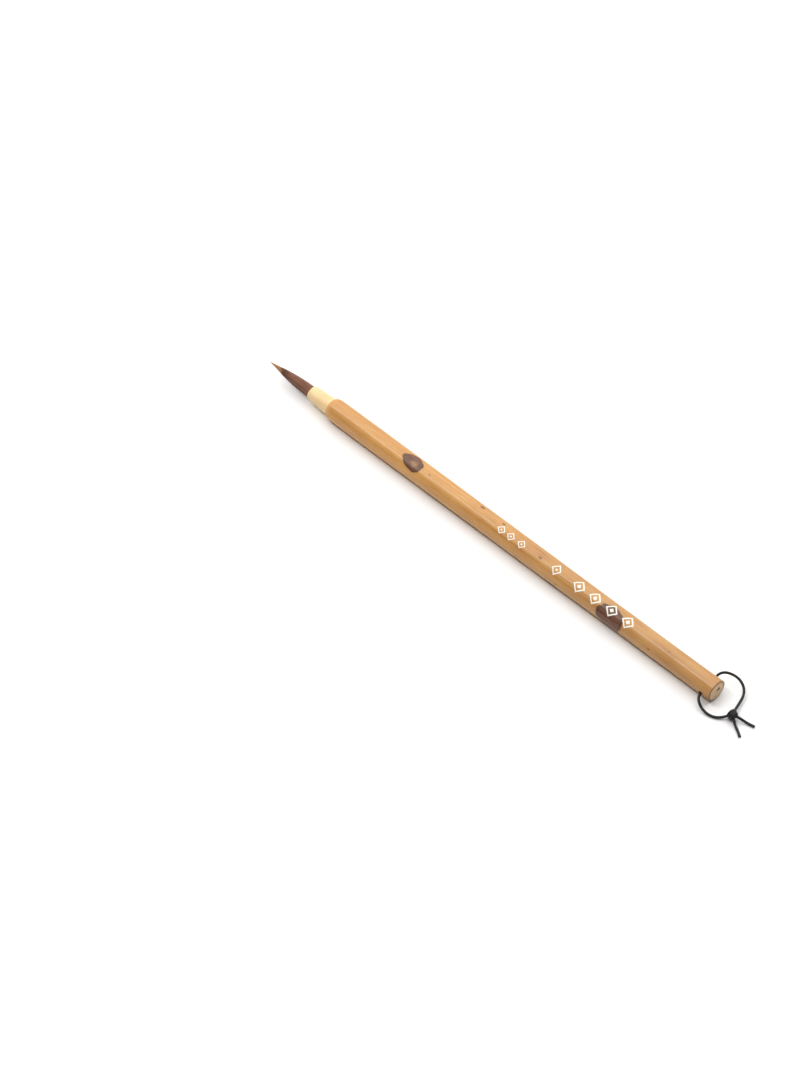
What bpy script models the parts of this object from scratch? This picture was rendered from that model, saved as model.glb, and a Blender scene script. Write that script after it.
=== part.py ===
"""Chinese calligraphy brush, fine-line size, lying on its side.

Axis of the brush along X: the hair's tip at -X, the sawn butt at +X, +Z up.
The origin is under the middle of the brush, on the surface that it lies on.
Metres throughout. Each physical piece is one object.
"""

import math

import bmesh
import bpy
import numpy as np
from mathutils import Matrix, Vector

MM = 0.001

# ---------------------------------------------------------------- dimensions
LENGTH = 218.0 * MM  # tip of the hair to the butt
TUFT_OUT = 22.6 * MM  # hair that stands out of the ferrule
FERRULE_OUT = 10.4 * MM  # ferrule that stands out of the handle
SIDES = 32  # facets round every turned piece; one facet lies flat underneath

HANDLE_MAX_R = 4.33 * MM
# distance behind the front rim, radius: a culm that thins a little to the butt
HANDLE_SHAPE = (
    (2.3, 4.25),
    (12.0, 4.30),
    (26.0, 4.33),
    (50.0, 4.29),
    (76.0, 4.22),
    (104.0, 4.17),
    (132.0, 4.09),
    (158.0, 4.05),
    (176.0, 4.08),
    (184.85, 4.13),
)
RIM_FLAT_R = 3.55 * MM  # where the front rim starts to round off
RIM_LENGTH = 2.3 * MM
BUTT_CHAMFER = 0.12 * MM

SOCKET_R = 3.46 * MM
SOCKET_DEPTH = 11.4 * MM
PITH_R = 0.60 * MM
PITH_BUTT_R = 0.68 * MM
PITH_SHIFT_Y = 0.85 * MM  # the pith channel leaves the middle towards the butt
PITH_SHIFT_Z = 0.30 * MM

FERRULE_LIP_R = 2.62 * MM
FERRULE_R = 3.32 * MM  # at the handle
TENON_LENGTH = 10.9 * MM
HAIR_BORE_R = 2.36 * MM
HAIR_BORE_DEPTH = 9.8 * MM
FERRULE_VENT_R = 1.40 * MM

TUFT_R = 2.30 * MM  # at the ferrule's mouth
ROOT_IN = 8.5 * MM  # hair held inside the ferrule
WAIST_R = 1.84 * MM
THREAD_R = 0.13 * MM
THREAD_TURNS = 4
THREAD_PITCH = 0.31 * MM
CORE_R = 0.95 * MM
COLLAR_R = 1.50 * MM
MANTLE_FRONT = 7.3 * MM  # from the tip to the mantle's front edge

HOLE_FROM_BUTT = 3.9 * MM
HOLE_TILT = math.radians(12)  # the cross hole's rise above the horizontal
HOLE_R = 0.86 * MM
HOLE_FLARE_R = 1.05 * MM

CORD_R = 0.50 * MM
CORD_STEP = 1.15 * MM
KNOT_CENTRE = (118.40, -2.50, 2.05)
KNOT_SEMI = (2.00, 1.90, 2.00)

AXIS_Z = HANDLE_MAX_R * math.cos(math.pi / SIDES)
TIP_X = -LENGTH / 2
MOUTH_X = TIP_X + TUFT_OUT
FRONT_X = MOUTH_X + FERRULE_OUT
BUTT_X = LENGTH / 2
ROOT_X = MOUTH_X + ROOT_IN
HOLE_X = BUTT_X - HOLE_FROM_BUTT
HOLE_DIR = Vector((0.0, math.cos(HOLE_TILT), math.sin(HOLE_TILT)))

# The loop's route in millimetres, from the knot up and round to the far mouth
# of the cross hole, through the hole, and along the table back to the knot.
LOOP_ROUTE = (
    (117.66, -0.32, 1.80),
    (117.18, 1.20, 1.60),
    (116.70, 2.90, 1.42),
    (116.10, 5.00, 1.46),
    (115.36, 6.85, 1.70),
    (114.29, 8.23, 2.16),
    (112.92, 9.15, 2.80),
    (111.18, 9.60, 3.48),
    (109.37, 9.49, 4.00),
    (107.85, 8.99, 4.38),
    (106.57, 8.19, 4.74),
    (105.60, 6.95, 5.06),
    (105.16, 5.48, 5.25),
    (105.10, 4.25, 5.18),
    (105.10, 3.42, 5.04),
    (105.10, 2.15, 4.77),
    (105.10, 0.00, 4.31),
    (105.10, -2.15, 3.85),
    (105.10, -3.42, 3.58),
    (105.33, -4.62, 3.29),
    (106.18, -5.98, 2.74),
    (107.96, -7.04, 1.79),
    (109.71, -7.33, 1.07),
    (111.34, -7.32, 0.74),
    (113.01, -6.97, 0.60),
    (114.60, -6.21, 0.64),
    (116.02, -5.15, 0.98),
    (116.88, -4.28, 1.42),
)
TAIL_A_ROUTE = (
    (120.50, -1.80, 1.80),
    (121.66, -1.42, 1.42),
    (123.14, -1.00, 0.94),
    (124.76, -0.58, 0.62),
    (126.40, -0.18, 0.56),
)
TAIL_B_ROUTE = (
    (120.24, -3.74, 1.55),
    (121.08, -4.28, 1.08),
    (122.44, -4.96, 0.68),
    (124.02, -5.82, 0.56),
    (125.58, -6.88, 0.56),
)


# ------------------------------------------------------------------- helpers
def clear_scene():
    for obj in list(bpy.data.objects):
        bpy.data.objects.remove(obj, do_unlink=True)
    for store in (bpy.data.meshes, bpy.data.curves, bpy.data.materials):
        for block in list(store):
            store.remove(block)


def material(name, colour, roughness, metallic=0.0):
    made = bpy.data.materials.new(name)
    made.use_nodes = True
    shader = made.node_tree.nodes["Principled BSDF"]
    shader.inputs["Base Color"].default_value = (*colour, 1.0)
    shader.inputs["Roughness"].default_value = roughness
    shader.inputs["Metallic"].default_value = metallic
    made.diffuse_color = (*colour, 1.0)
    return made


def place(obj, parent):
    """Parents obj and keeps it where its own data puts it in the world."""
    obj.parent = parent
    obj.matrix_parent_inverse = Matrix.Identity(4)
    obj.location = -parent.location
    return obj


def empty(name, location):
    made = bpy.data.objects.new(name, None)
    made.empty_display_size = 0.01
    made.location = location
    bpy.context.scene.collection.objects.link(made)
    return made


def ring(bm, x, radius, shift=(0.0, 0.0), sides=SIDES):
    """A ring of points round the brush's axis, with a facet underneath."""
    points = []
    for i in range(sides):
        angle = 2 * math.pi * (i + 0.5) / sides - math.pi / 2
        points.append(
            bm.verts.new(
                (
                    x,
                    shift[0] + radius * math.cos(angle),
                    AXIS_Z + shift[1] + radius * math.sin(angle),
                )
            )
        )
    return points


def skin(bm, first, second):
    count = len(first)
    for i in range(count):
        j = (i + 1) % count
        bm.faces.new((first[i], first[j], second[j], second[i]))


def turned(name, profile, mat, closed=False, pole=False, sides=SIDES):
    """A body turned about the brush's axis from (x, radius[, shift]) stations.

    closed: the last station joins the first, which makes a tube.
    pole: the first station is a single point on the axis.
    """
    bm = bmesh.new()
    rings = []
    start = 1 if pole else 0
    for station in profile[start:]:
        shift = station[2] if len(station) > 2 else (0.0, 0.0)
        rings.append(ring(bm, station[0], station[1], shift, sides))
    for first, second in zip(rings, rings[1:]):
        skin(bm, first, second)
    if closed:
        skin(bm, rings[-1], rings[0])
    else:
        if pole:
            tip = bm.verts.new((profile[0][0], 0.0, AXIS_Z))
            for i in range(sides):
                bm.faces.new((tip, rings[0][(i + 1) % sides], rings[0][i]))
        else:
            bm.faces.new(rings[0])
        bm.faces.new(rings[-1])
    bmesh.ops.recalc_face_normals(bm, faces=bm.faces[:])
    return finish(bm, name, mat)


def finish(bm, name, mat, sharp=35.0):
    mesh = bpy.data.meshes.new(name)
    bm.to_mesh(mesh)
    bm.free()
    mesh.materials.append(mat)
    mesh.shade_smooth()
    mesh.set_sharp_from_angle(angle=math.radians(sharp))
    obj = bpy.data.objects.new(name, mesh)
    bpy.context.scene.collection.objects.link(obj)
    return obj


def smooth_route(route, step):
    """Evenly spaced points on the natural cubic spline through the route."""
    points = np.array(route, dtype=float)
    gaps = np.sqrt(np.linalg.norm(np.diff(points, axis=0), axis=1))
    knots = np.concatenate([[0.0], np.cumsum(gaps)])
    count = len(points)
    system = np.zeros((count, count))
    right = np.zeros((count, 3))
    system[0, 0] = system[-1, -1] = 1.0
    for i in range(1, count - 1):
        before, after = gaps[i - 1], gaps[i]
        system[i, i - 1 : i + 2] = before, 2 * (before + after), after
        right[i] = 6 * (
            (points[i + 1] - points[i]) / after - (points[i] - points[i - 1]) / before
        )
    bend = np.linalg.solve(system, right)
    fine = []
    for i, gap in enumerate(gaps):
        for t in np.linspace(0.0, gap, 60, endpoint=(i == len(gaps) - 1)):
            left, rest = t, gap - t
            fine.append(
                bend[i] * rest**3 / (6 * gap)
                + bend[i + 1] * left**3 / (6 * gap)
                + (points[i] / gap - bend[i] * gap / 6) * rest
                + (points[i + 1] / gap - bend[i + 1] * gap / 6) * left
            )
    fine = np.array(fine)
    along = np.concatenate(
        [[0.0], np.cumsum(np.linalg.norm(np.diff(fine, axis=0), axis=1))]
    )
    stops = np.linspace(0.0, along[-1], max(2, round(along[-1] / step) + 1))
    return [
        Vector([float(np.interp(s, along, fine[:, k])) for k in range(3)])
        for s in stops
    ]


def cord(name, route, mat):
    """A round tube with closed ends along the smooth curve through the route."""
    curve = bpy.data.curves.new(name, "CURVE")
    curve.dimensions = "3D"
    curve.bevel_depth = CORD_R
    curve.bevel_resolution = 2
    curve.use_fill_caps = True
    spline = curve.splines.new("POLY")
    points = smooth_route(route, CORD_STEP / MM)
    spline.points.add(len(points) - 1)
    for point, where in zip(spline.points, points):
        point.co = (*(where * MM), 1.0)
    spline.use_smooth = True
    curve.materials.append(mat)
    obj = bpy.data.objects.new(name, curve)
    bpy.context.scene.collection.objects.link(obj)
    return obj


# -------------------------------------------------------------------- pieces
def make_handle(mat):
    """The culm: rounded rim, gently tapering skin, socket and pith channel."""
    outside = []
    first_r = HANDLE_SHAPE[0][1] * MM
    for k in range(6):
        turn = math.pi / 2 * k / 6
        outside.append(
            (
                FRONT_X + RIM_LENGTH * (1 - math.cos(turn)),
                RIM_FLAT_R + (first_r - RIM_FLAT_R) * math.sin(turn),
            )
        )
    outside += [(FRONT_X + x * MM, r * MM) for x, r in HANDLE_SHAPE]
    outside.append((BUTT_X, HANDLE_SHAPE[-1][1] * MM - BUTT_CHAMFER))
    floor_x = FRONT_X + SOCKET_DEPTH
    inside = []
    for k in range(6):
        part = 1 - k / 5
        x = floor_x + (BUTT_X - floor_x) * part
        radius = PITH_BUTT_R if k == 0 else PITH_R
        drift = part**2
        inside.append((x, radius, (PITH_SHIFT_Y * drift, PITH_SHIFT_Z * drift)))
    inside += [(floor_x, SOCKET_R), (FRONT_X, SOCKET_R)]
    handle = turned("handle", outside + inside, mat, closed=True)

    # The drill that makes the cross hole, a little flared at both mouths.
    reach = 5.4 * MM
    flare_at = 3.85 * MM
    skin_at = 4.20 * MM
    spread = HOLE_FLARE_R + (reach - skin_at)
    stations = (
        (-reach, spread),
        (-skin_at, HOLE_FLARE_R),
        (-flare_at, HOLE_R),
        (flare_at, HOLE_R),
        (skin_at, HOLE_FLARE_R),
        (reach, spread),
    )
    bm = bmesh.new()
    side = Vector((1.0, 0.0, 0.0))
    up = HOLE_DIR.cross(side)
    centre = Vector((HOLE_X, 0.0, AXIS_Z))
    rings = []
    for along, radius in stations:
        rings.append(
            [
                bm.verts.new(
                    centre
                    + HOLE_DIR * along
                    + (side * math.cos(a) + up * math.sin(a)) * radius
                )
                for a in (2 * math.pi * i / 24 for i in range(24))
            ]
        )
    for first, second in zip(rings, rings[1:]):
        skin(bm, first, second)
    bm.faces.new(rings[0])
    bm.faces.new(rings[-1])
    bmesh.ops.recalc_face_normals(bm, faces=bm.faces[:])
    drill = finish(bm, "cross_hole_drill", mat)
    drill.hide_render = True
    drill.display_type = "WIRE"
    cut = handle.modifiers.new("cross_hole", "BOOLEAN")
    cut.operation = "DIFFERENCE"
    cut.solver = "EXACT"
    cut.object = drill
    return handle, drill


def make_ferrule(mat):
    """A conical sleeve; its tenon stands in the handle's socket."""
    x0, x1 = MOUTH_X, FRONT_X
    tail = FRONT_X + TENON_LENGTH
    profile = [
        (x0, HAIR_BORE_R),
        (x0, FERRULE_LIP_R - 0.12 * MM),
        (x0 + 0.06 * MM, FERRULE_LIP_R),
        (x0 + 0.28 * MM, 2.74 * MM),
        (x0 + 1.20 * MM, 2.86 * MM),
        (x0 + 3.80 * MM, 3.02 * MM),
        (x0 + 7.20 * MM, 3.20 * MM),
        (x1, FERRULE_R),
        (tail - 0.5 * MM, FERRULE_R),
        (tail, FERRULE_R - 0.3 * MM),
        (tail, FERRULE_VENT_R),
        (x0 + HAIR_BORE_DEPTH, FERRULE_VENT_R),
        (x0 + HAIR_BORE_DEPTH, HAIR_BORE_R),
    ]
    return turned("ferrule", profile, mat, closed=True)


def make_ferrule_bond(mat):
    """The film of glue between tenon and socket."""
    inner, outer = FERRULE_R + 0.02 * MM, SOCKET_R - 0.02 * MM
    front, back = FRONT_X + 0.25 * MM, FRONT_X + TENON_LENGTH - 0.6 * MM
    return turned(
        "ferrule_bond",
        [(front, outer), (back, outer), (back, inner), (front, inner)],
        mat,
        closed=True,
    )


def tuft_radius(from_tip):
    """Radius of the whole tuft outside the ferrule: a slim, hollow-ground point."""
    part = min(1.0, max(0.0, from_tip / TUFT_OUT))
    return TUFT_R * math.sin(math.pi / 2 * part) ** 1.12


def make_hair_core(mat):
    """The hairs of the middle: from the root to the amber point."""
    profile = [(TIP_X, 0.0)]
    for d in (0.5, 1.1, 2.0, 3.1, 4.3, 5.4):
        profile.append((TIP_X + d * MM, tuft_radius(d * MM)))
    profile += [
        (TIP_X + 6.5 * MM, CORE_R),
        (TIP_X + 12.0 * MM, CORE_R),
        (MOUTH_X, CORE_R),
        (ROOT_X, CORE_R),
    ]
    return turned("hair_core", profile, mat, pole=True, sides=24)


def make_hair_mantle(mat):
    """The cover hairs: a hollow sheath round core and collar."""
    inner = CORE_R + 0.03 * MM
    step = COLLAR_R + 0.04 * MM
    outside = [(TIP_X + MANTLE_FRONT, inner + 0.03 * MM)]
    for d in (8.2, 9.4, 10.8, 12.4, 14.2, 16.2, 18.4, 20.6):
        outside.append((TIP_X + d * MM, max(tuft_radius(d * MM), inner + 0.04 * MM)))
    outside += [
        (MOUTH_X - 0.2 * MM, TUFT_R),
        (MOUTH_X + 0.5 * MM, 2.20 * MM),
        (MOUTH_X + 5.6 * MM, 2.20 * MM),
        (MOUTH_X + 6.1 * MM, WAIST_R),
        (MOUTH_X + 7.9 * MM, WAIST_R),
        (MOUTH_X + 8.2 * MM, 2.05 * MM),
        (ROOT_X, 2.05 * MM),
    ]
    inside = [
        (ROOT_X, step),
        (MOUTH_X + 2.2 * MM, step),
        (MOUTH_X + 1.6 * MM, inner),
        (TIP_X + 14.2 * MM, inner),
        (TIP_X + MANTLE_FRONT, inner),
    ]
    return turned("hair_mantle", outside + inside, mat, closed=True, sides=SIDES)


def make_hair_collar(mat):
    """Short padding hairs round the core, all inside the ferrule."""
    inner = CORE_R + 0.04 * MM
    return turned(
        "hair_collar",
        [
            (MOUTH_X + 2.5 * MM, COLLAR_R - 0.25 * MM),
            (MOUTH_X + 3.3 * MM, COLLAR_R),
            (ROOT_X, COLLAR_R),
            (ROOT_X, inner),
            (MOUTH_X + 2.5 * MM, inner),
        ],
        mat,
        closed=True,
    )


def make_root_thread(mat):
    """The binding: one thread wound round the root's waist."""
    start = MOUTH_X + 6.4 * MM
    radius = WAIST_R + THREAD_R + 0.02 * MM
    around, sides = 26, 6
    bm = bmesh.new()
    rings = []
    for i in range(THREAD_TURNS * around + 1):
        a = 2 * math.pi * i / around
        centre = Vector(
            (
                start + THREAD_PITCH * i / around,
                radius * math.cos(a),
                AXIS_Z + radius * math.sin(a),
            )
        )
        out = Vector((0.0, math.cos(a), math.sin(a)))
        side = Vector((1.0, 0.0, 0.0))
        rings.append(
            [
                bm.verts.new(
                    centre
                    + (out * math.cos(b) + side * math.sin(b)) * THREAD_R
                )
                for b in (2 * math.pi * k / sides for k in range(sides))
            ]
        )
    for first, second in zip(rings, rings[1:]):
        skin(bm, first, second)
    bm.faces.new(rings[0])
    bm.faces.new(rings[-1])
    bmesh.ops.recalc_face_normals(bm, faces=bm.faces[:])
    return finish(bm, "root_thread", mat, sharp=60.0)


def make_root_seal(mat):
    """The rosin pad behind the root."""
    front = ROOT_X + 0.06 * MM
    return turned(
        "root_seal",
        [
            (front, 1.98 * MM),
            (front + 0.35 * MM, 2.10 * MM),
            (front + 0.75 * MM, 1.95 * MM),
            (front + 1.02 * MM, 1.30 * MM),
            (front + 1.10 * MM, 0.55 * MM),
        ],
        mat,
    )


def make_tuft_bond(mat):
    """The film of glue between the tuft's root and the ferrule's bore."""
    inner, outer = 2.22 * MM, HAIR_BORE_R - 0.02 * MM
    front, back = MOUTH_X + 0.7 * MM, MOUTH_X + 5.5 * MM
    return turned(
        "tuft_bond",
        [(front, outer), (back, outer), (back, inner), (front, inner)],
        mat,
        closed=True,
    )


def make_knot(mat):
    """The overhand knot that both legs of the loop are tied in."""
    bm = bmesh.new()
    bmesh.ops.create_uvsphere(bm, u_segments=20, v_segments=12, radius=1.0)
    for vert in bm.verts:
        vert.co = Vector(
            tuple((KNOT_CENTRE[k] + KNOT_SEMI[k] * vert.co[k]) * MM for k in range(3))
        )
    return finish(bm, "cord_knot", mat, sharp=60.0)


def main():
    clear_scene()
    bamboo = material("spotted_bamboo", (0.60, 0.35, 0.13), 0.38)
    peeled = material("peeled_bamboo", (0.86, 0.76, 0.45), 0.42)
    cover_hair = material("cover_hair", (0.085, 0.045, 0.030), 0.50)
    core_hair = material("core_hair", (0.42, 0.24, 0.10), 0.45)
    pad_hair = material("padding_hair", (0.30, 0.19, 0.10), 0.60)
    thread = material("binding_thread", (0.80, 0.78, 0.72), 0.70)
    rosin = material("rosin", (0.38, 0.18, 0.05), 0.25)
    glue = material("glue", (0.62, 0.50, 0.30), 0.35)
    waxed = material("waxed_cord", (0.020, 0.021, 0.024), 0.55)

    brush = empty("brush_frame", (0.0, 0.0, 0.0))
    tuft_pivot = empty("tuft_pivot", (MOUTH_X, 0.0, AXIS_Z))
    cord_pivot = empty("cord_pivot", (HOLE_X, 0.0, AXIS_Z))
    cord_pivot.parent = brush
    tuft_pivot.parent = brush

    handle, drill = make_handle(bamboo)
    held = [
        handle,
        drill,
        make_ferrule(peeled),
        make_ferrule_bond(glue),
        make_hair_collar(pad_hair),
        make_root_thread(thread),
        make_root_seal(rosin),
        make_tuft_bond(glue),
    ]
    for piece in held:
        place(piece, brush)
    for piece in (make_hair_core(core_hair), make_hair_mantle(cover_hair)):
        place(piece, tuft_pivot)
    for piece in (
        cord("cord_loop", LOOP_ROUTE, waxed),
        make_knot(waxed),
        cord("cord_tail_a", TAIL_A_ROUTE, waxed),
        cord("cord_tail_b", TAIL_B_ROUTE, waxed),
    ):
        place(piece, cord_pivot)


main()
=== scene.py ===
"""Looks of the calligraphy brush: bamboo, peeled ferrule, hair by the strand, braided waxed cord."""

import math
import random

import bmesh
import bpy
import numpy as np
from mathutils import Matrix, Vector


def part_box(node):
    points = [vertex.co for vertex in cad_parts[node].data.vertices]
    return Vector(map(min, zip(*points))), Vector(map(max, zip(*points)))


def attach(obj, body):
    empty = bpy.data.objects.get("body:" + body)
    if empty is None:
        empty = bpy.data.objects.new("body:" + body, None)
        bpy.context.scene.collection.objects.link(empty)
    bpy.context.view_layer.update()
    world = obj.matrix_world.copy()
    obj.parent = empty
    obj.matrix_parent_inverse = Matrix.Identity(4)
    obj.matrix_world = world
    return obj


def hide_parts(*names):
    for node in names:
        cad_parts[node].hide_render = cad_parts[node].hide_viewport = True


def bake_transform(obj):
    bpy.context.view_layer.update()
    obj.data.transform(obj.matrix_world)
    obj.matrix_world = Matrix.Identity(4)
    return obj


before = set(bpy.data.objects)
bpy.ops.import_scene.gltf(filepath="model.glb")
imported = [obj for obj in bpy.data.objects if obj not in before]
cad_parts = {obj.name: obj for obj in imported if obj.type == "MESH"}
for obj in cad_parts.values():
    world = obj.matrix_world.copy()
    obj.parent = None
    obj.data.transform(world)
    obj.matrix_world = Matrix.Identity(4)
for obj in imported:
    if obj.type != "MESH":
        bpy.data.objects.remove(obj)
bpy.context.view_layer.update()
scene = bpy.context.scene
MM = 0.001

# ------------------------------------------------- places, read from the frame
HANDLE_LO, HANDLE_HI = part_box("handle")
FERRULE_LO, FERRULE_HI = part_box("ferrule")
CORE_LO, CORE_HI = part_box("hair_core")
AXIS_Z = 4.3091  # mm, height of the brush's axis
TIP_X = CORE_LO.x / MM
MOUTH_X = FERRULE_LO.x / MM
FRONT_X = HANDLE_LO.x / MM
BUTT_X = HANDLE_HI.x / MM
HOLE_X = BUTT_X - 3.9
HOLE_TILT = math.radians(12)
HOLE_DIR = np.array([0.0, math.cos(HOLE_TILT), math.sin(HOLE_TILT)])
HOLE_C = np.array([HOLE_X, 0.0, AXIS_Z])
TUFT_OUT = MOUTH_X - TIP_X
TUFT_R = 2.30

HANDLE_SHAPE = (
    (2.3, 4.25),
    (12.0, 4.30),
    (26.0, 4.33),
    (50.0, 4.29),
    (76.0, 4.22),
    (104.0, 4.17),
    (132.0, 4.09),
    (158.0, 4.05),
    (176.0, 4.08),
    (185.0, 4.13),
)
RIM_FLAT_R, RIM_LENGTH = 3.55, 2.3

# The cord's route, as in the CAD source, in metres.
LOOP_ROUTE = [
    (0.11766, -0.00032, 0.00180),
    (0.11718, 0.00120, 0.00160),
    (0.11670, 0.00290, 0.00142),
    (0.11610, 0.00500, 0.00146),
    (0.11536, 0.00685, 0.00170),
    (0.11429, 0.00823, 0.00216),
    (0.11292, 0.00915, 0.00280),
    (0.11118, 0.00960, 0.00348),
    (0.10937, 0.00949, 0.00400),
    (0.10785, 0.00899, 0.00438),
    (0.10657, 0.00819, 0.00474),
    (0.10560, 0.00695, 0.00506),
    (0.10516, 0.00548, 0.00525),
    (0.10510, 0.00425, 0.00518),
    (0.10510, 0.00342, 0.00504),
    (0.10510, 0.00215, 0.00477),
    (0.10510, 0.00000, 0.00431),
    (0.10510, -0.00215, 0.00385),
    (0.10510, -0.00342, 0.00358),
    (0.10533, -0.00462, 0.00329),
    (0.10618, -0.00598, 0.00274),
    (0.10796, -0.00704, 0.00179),
    (0.10971, -0.00733, 0.00107),
    (0.11134, -0.00732, 0.00074),
    (0.11301, -0.00697, 0.00060),
    (0.11460, -0.00621, 0.00064),
    (0.11602, -0.00515, 0.00098),
    (0.11688, -0.00428, 0.00142),
]
TAIL_A_ROUTE = [
    (0.12050, -0.00180, 0.00180),
    (0.12166, -0.00142, 0.00142),
    (0.12314, -0.00100, 0.00094),
    (0.12476, -0.00058, 0.00062),
    (0.12640, -0.00018, 0.00056),
]
TAIL_B_ROUTE = [
    (0.12024, -0.00374, 0.00155),
    (0.12108, -0.00428, 0.00108),
    (0.12244, -0.00496, 0.00068),
    (0.12402, -0.00582, 0.00056),
    (0.12558, -0.00688, 0.00056),
]
KNOT_C = np.array([0.11840, -0.00250, 0.00205])
CORD_R = 0.0005


# --------------------------------------------------------------------- camera
def make_camera():
    """Long lens, at the photograph's viewing angle."""
    data = bpy.data.cameras.new("camera")
    data.lens = 125.0
    data.sensor_fit = "AUTO"
    data.sensor_width = 36.0
    data.clip_start = 0.05
    data.clip_end = 20.0
    cam = bpy.data.objects.new("camera", data)
    cam.location = (0.56388861, -0.62173552, 1.0098658)
    cam.rotation_euler = (math.radians(90 - 50.3707), 0.0, math.radians(44.24408))
    scene.collection.objects.link(cam)
    scene.camera = cam


# ------------------------------------------------------------- mesh utilities
def new_object(name, mesh, mat=None):
    obj = bpy.data.objects.new(name, mesh)
    scene.collection.objects.link(obj)
    if mat is not None:
        mesh.materials.append(mat)
    return obj


def mesh_from(name, verts, faces):
    """verts: n x 3 in metres; faces: list or array of index tuples."""
    mesh = bpy.data.meshes.new(name)
    verts = np.asarray(verts, np.float32)
    if isinstance(faces, np.ndarray):
        count, size = faces.shape
        mesh.vertices.add(len(verts))
        mesh.vertices.foreach_set("co", verts.ravel())
        mesh.loops.add(count * size)
        mesh.loops.foreach_set("vertex_index", faces.astype(np.int32).ravel())
        mesh.polygons.add(count)
        mesh.polygons.foreach_set(
            "loop_start", np.arange(0, count * size, size, dtype=np.int32)
        )
        mesh.polygons.foreach_set("loop_total", np.full(count, size, np.int32))
        mesh.update(calc_edges=True)
    else:
        mesh.from_pydata([tuple(map(float, v)) for v in verts], [], faces)
    mesh.validate()
    return mesh


def smooth(mesh, angle=40.0):
    mesh.shade_smooth()
    mesh.set_sharp_from_angle(angle=math.radians(angle))


def outward(mesh):
    bm = bmesh.new()
    bm.from_mesh(mesh)
    bmesh.ops.recalc_face_normals(bm, faces=bm.faces[:])
    bm.to_mesh(mesh)
    bm.free()


def natural_spline(points, count):
    """count points, evenly spaced, on the natural cubic through the points."""
    points = np.array(points, float)
    gaps = np.sqrt(np.linalg.norm(np.diff(points, axis=0), axis=1))
    n = len(points)
    system, right = np.zeros((n, n)), np.zeros((n, 3))
    system[0, 0] = system[-1, -1] = 1.0
    for i in range(1, n - 1):
        a, b = gaps[i - 1], gaps[i]
        system[i, i - 1 : i + 2] = a, 2 * (a + b), b
        right[i] = 6 * (
            (points[i + 1] - points[i]) / b - (points[i] - points[i - 1]) / a
        )
    bend = np.linalg.solve(system, right)
    fine = []
    for i, gap in enumerate(gaps):
        for t in np.linspace(0.0, gap, 80, endpoint=(i == n - 2)):
            u, v = t, gap - t
            fine.append(
                bend[i] * v**3 / (6 * gap)
                + bend[i + 1] * u**3 / (6 * gap)
                + (points[i] / gap - bend[i] * gap / 6) * v
                + (points[i + 1] / gap - bend[i + 1] * gap / 6) * u
            )
    fine = np.array(fine)
    along = np.concatenate(
        [[0.0], np.cumsum(np.linalg.norm(np.diff(fine, axis=0), axis=1))]
    )
    stops = np.linspace(0.0, along[-1], count)
    return np.stack([np.interp(stops, along, fine[:, k]) for k in range(3)], 1), along[
        -1
    ]


def curve_through(stations, x):
    """Smooth reading of (place, value) stations."""
    xs = np.array([s[0] for s in stations], float)
    ys = np.array([s[1] for s in stations], float)
    slopes = np.gradient(ys, xs)
    i = np.clip(np.searchsorted(xs, x) - 1, 0, len(xs) - 2)
    h = xs[i + 1] - xs[i]
    t = np.clip((x - xs[i]) / h, 0, 1)
    return (
        (2 * t**3 - 3 * t**2 + 1) * ys[i]
        + (t**3 - 2 * t**2 + t) * h * slopes[i]
        + (-2 * t**3 + 3 * t**2) * ys[i + 1]
        + (t**3 - t**2) * h * slopes[i + 1]
    )


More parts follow.
